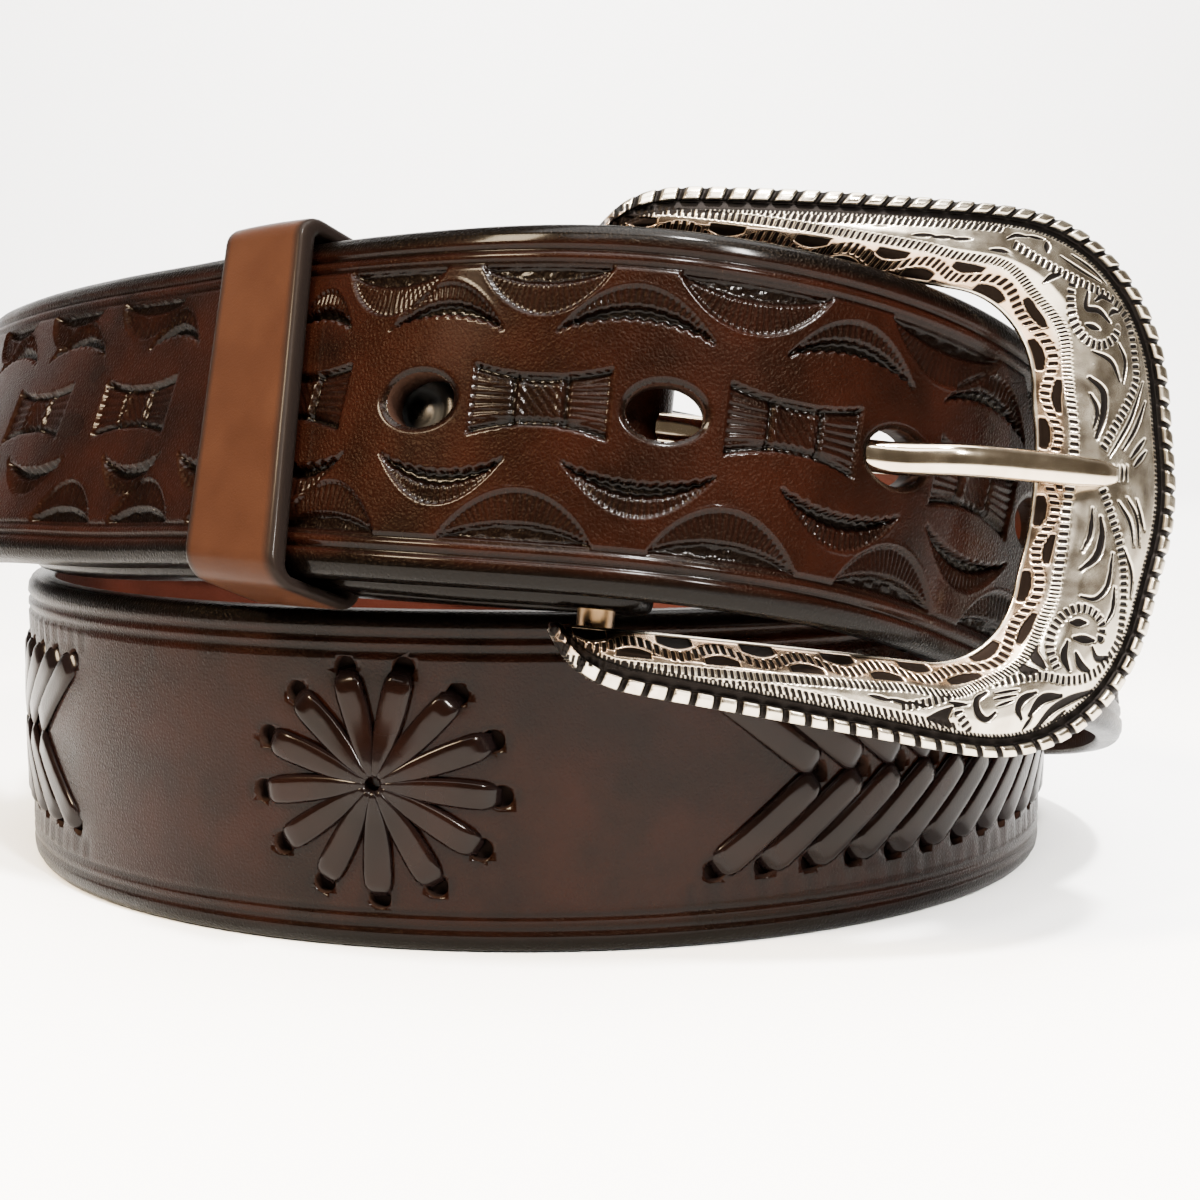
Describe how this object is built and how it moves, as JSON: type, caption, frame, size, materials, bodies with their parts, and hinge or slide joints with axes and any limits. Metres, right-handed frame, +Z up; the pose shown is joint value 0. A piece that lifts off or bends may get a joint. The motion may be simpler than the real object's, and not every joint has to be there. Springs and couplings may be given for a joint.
{
  "type": "western tooled belt",
  "caption": "Tooled and laced leather belt with an engraved western buckle, fastened through a keeper and wound in two turns, standing on its lower edge.",
  "frame": {"origin": "on the floor under the middle of the belt's overall box", "axes": "+Z up, -Y towards the rosette and the buckle, +X to the right seen from the buckle's side"},
  "size_m": [0.1748, 0.1628, 0.083],
  "materials": {
    "tooled_leather": "waxed, antiqued dark in the stamps",
    "keeper_leather": "smooth, waxed",
    "lacing": "satin",
    "antique_silver": "engraved, blackened in the cuts",
    "snap_metal": "satin"
  },
  "bodies": {
    "root": {"strap": "tooled_leather", "keeper": "keeper_leather", "buckle_frame": "antique_silver", "prong": "antique_silver", "snap_1": "snap_metal", "snap_2": "snap_metal", "rosette_centre": "lacing", "rosette_buckle_side": "lacing", "rosette_tip_side": "lacing", "chevrons_centre_buckle_side": "lacing", "chevrons_centre_tip_side": "lacing", "chevrons_buckle_side": "lacing", "chevrons_tip_side": "lacing"}
  },
  "joints": []
}
